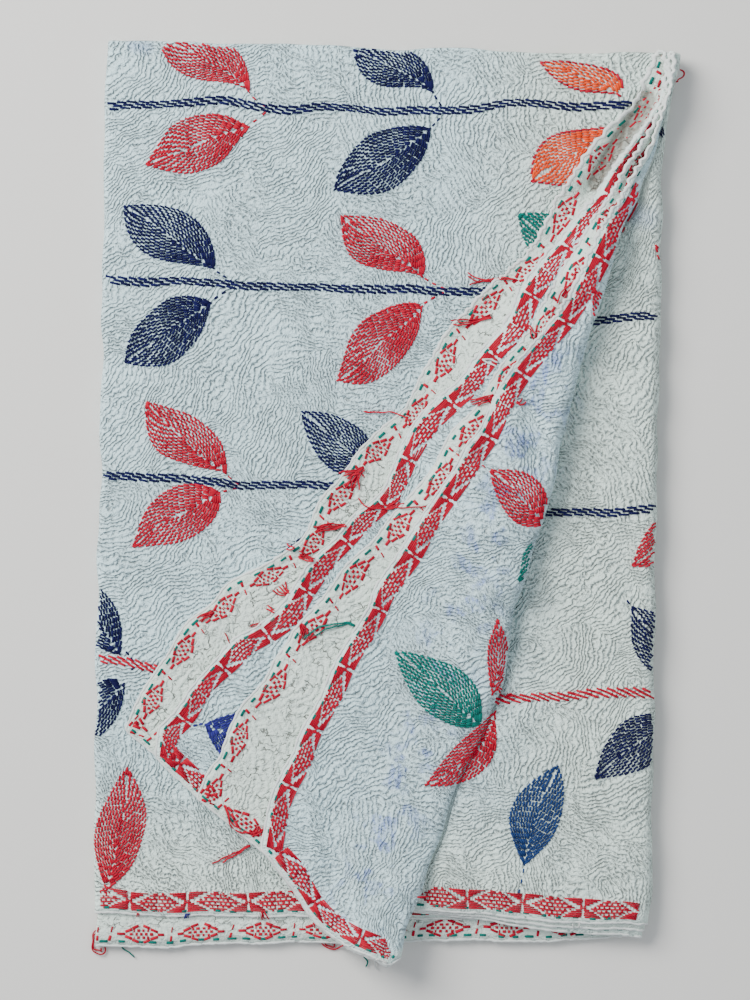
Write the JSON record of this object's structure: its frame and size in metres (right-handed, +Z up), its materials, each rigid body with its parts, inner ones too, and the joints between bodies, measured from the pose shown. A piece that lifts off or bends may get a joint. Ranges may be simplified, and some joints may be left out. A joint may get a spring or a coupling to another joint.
{
  "type": "folded quilt",
  "caption": "Light cotton throw folded flat into a rectangular stack, its upper layers turned back over a slanting ridge so that their hems fan out.",
  "frame": {"origin": "middle of the underside of the folded stack's bounding box, on the surface it rests on", "axes": "+Z up from the surface, +Y along the long side of the stack towards the corner the layers are drawn to, +X to the right seen from above"},
  "size_m": [0.4987, 0.7856, 0.0449],
  "materials": {
    "quilted_cotton": "soft matt hand-quilted cotton"
  },
  "bodies": {
    "root": {"quilt": "quilted_cotton"}
  },
  "joints": []
}
